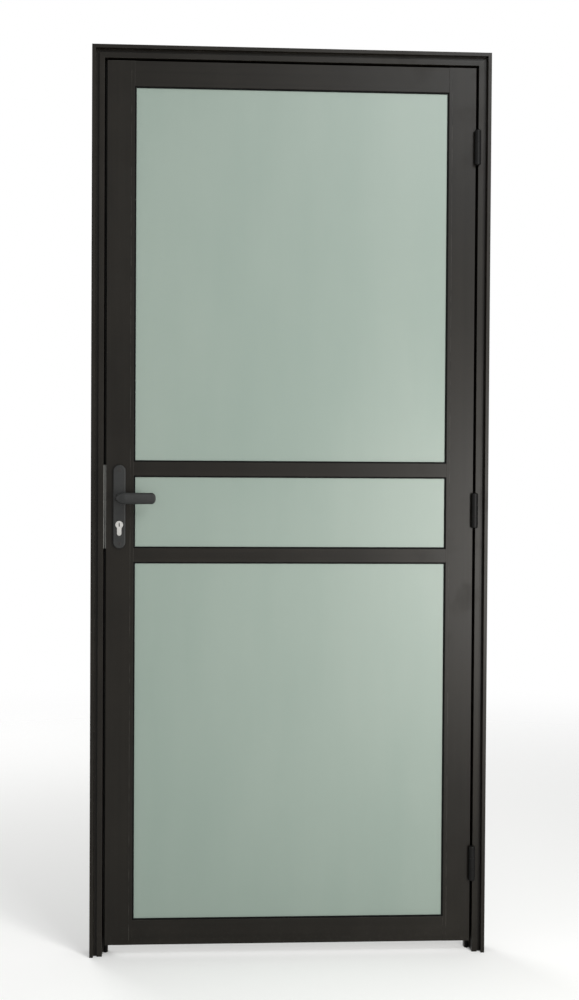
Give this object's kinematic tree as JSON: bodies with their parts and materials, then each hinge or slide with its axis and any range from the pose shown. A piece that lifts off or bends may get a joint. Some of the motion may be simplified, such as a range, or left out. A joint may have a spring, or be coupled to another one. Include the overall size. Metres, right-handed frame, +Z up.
{
  "type": "aluminium door",
  "caption": "Glazed aluminium door in its frame, with three frosted panes, two mid rails, lever handles, a mortise lock with a profile cylinder, and butt hinges.",
  "frame": {"origin": "on the floor, midway between the outer faces of the jambs and midway through the leaf", "axes": "+Z up, +X from the lock towards the hinges, -Y towards the side that the leaf opens to"},
  "size_m": [0.9, 0.136, 2.05],
  "materials": {
    "frame_coating": "satin dark bronze powder coat",
    "leaf_coating": "satin dark bronze powder coat",
    "handle_coating": "satin dark coat",
    "hinge_coating": "dark satin coat",
    "raw_aluminium": "mill finish",
    "lock_steel": "zinc plated and brushed",
    "screw_steel": "dark plated",
    "nickel": "satin nickel plate",
    "frosted_glass": "frosted pale sea green",
    "rubber": "matt black",
    "block_plastic": "matt"
  },
  "bodies": {
    "frame": {"lock_jamb": "frame_coating", "hinge_jamb": "frame_coating", "head": "frame_coating", "corner_cleats": "raw_aluminium", "lock_jamb_seal": "rubber", "hinge_jamb_seal": "rubber", "head_seal": "rubber", "strike_plate": "lock_steel", "strike_screws": "screw_steel", "hinge_frame_screws": "screw_steel", "hinge_pins": "hinge_coating", "hinge_top_frame_wing": "hinge_coating", "hinge_middle_frame_wing": "hinge_coating", "hinge_bottom_frame_wing": "hinge_coating"},
    "leaf": {"back_plate": "handle_coating", "bottom_rail": "leaf_coating", "cylinder_body": "nickel", "front_plate": "handle_coating", "hinge_bottom_leaf_wing": "hinge_coating", "hinge_leaf_screws": "screw_steel", "hinge_middle_leaf_wing": "hinge_coating", "hinge_stile": "leaf_coating", "hinge_top_leaf_wing": "hinge_coating", "lock_case": "lock_steel", "lock_cover": "lock_steel", "lock_faceplate": "lock_steel", "lock_screws": "screw_steel", "lock_stile": "leaf_coating", "lower_bead_bottom": "leaf_coating", "lower_bead_left": "leaf_coating", "lower_bead_right": "leaf_coating", "lower_bead_top": "leaf_coating", "lower_gaskets": "rubber", "lower_glass": "frosted_glass", "lower_mid_rail": "leaf_coating", "middle_bead_bottom": "leaf_coating", "middle_bead_left": "leaf_coating", "middle_bead_right": "leaf_coating", "middle_bead_top": "leaf_coating", "middle_gaskets": "rubber", "middle_glass": "frosted_glass", "plate_screws": "screw_steel", "rail_screws": "screw_steel", "setting_blocks": "block_plastic", "top_rail": "leaf_coating", "upper_bead_bottom": "leaf_coating", "upper_bead_left": "leaf_coating", "upper_bead_right": "leaf_coating", "upper_bead_top": "leaf_coating", "upper_gaskets": "rubber", "upper_glass": "frosted_glass", "upper_mid_rail": "leaf_coating"},
    "levers": {"front_lever": "handle_coating", "back_lever": "handle_coating", "spindle": "lock_steel", "follower": "lock_steel"},
    "latch": {"latch_bolt": "lock_steel"},
    "deadbolt": {"deadbolt": "lock_steel"},
    "plugs": {"cylinder_plugs": "nickel", "cylinder_cam": "nickel"}
  },
  "joints": [
    {"name": "door_swing", "type": "hinge", "parent": "frame", "child": "leaf", "pos_m": [0.419, -0.023, 1.013], "axis": [0, 0, 1], "range_deg": [0, 170]},
    {"name": "lever_turn", "type": "hinge", "parent": "leaf", "child": "levers", "pos_m": [-0.386, 0, 1.038], "axis": [0, 1, 0], "range_deg": [0, 40], "stiffness_Nm_per_rad": 1.5, "springref_deg": -20.05},
    {"name": "latch_slide", "type": "slide", "parent": "leaf", "child": "latch", "axis": [-1, 0, 0], "range_m": [0, 0.0095]},
    {"name": "key_turn", "type": "hinge", "parent": "leaf", "child": "plugs", "pos_m": [-0.386, 0, 0.978], "axis": [0, -1, 0], "range_deg": [0, 360]},
    {"name": "bolt_throw", "type": "slide", "parent": "leaf", "child": "deadbolt", "axis": [-1, 0, 0], "range_m": [0, 0.02]}
  ],
  "couplings": [
    {"joint": "key_turn", "follows": "bolt_throw", "rad_per_m": 314.15}
  ]
}
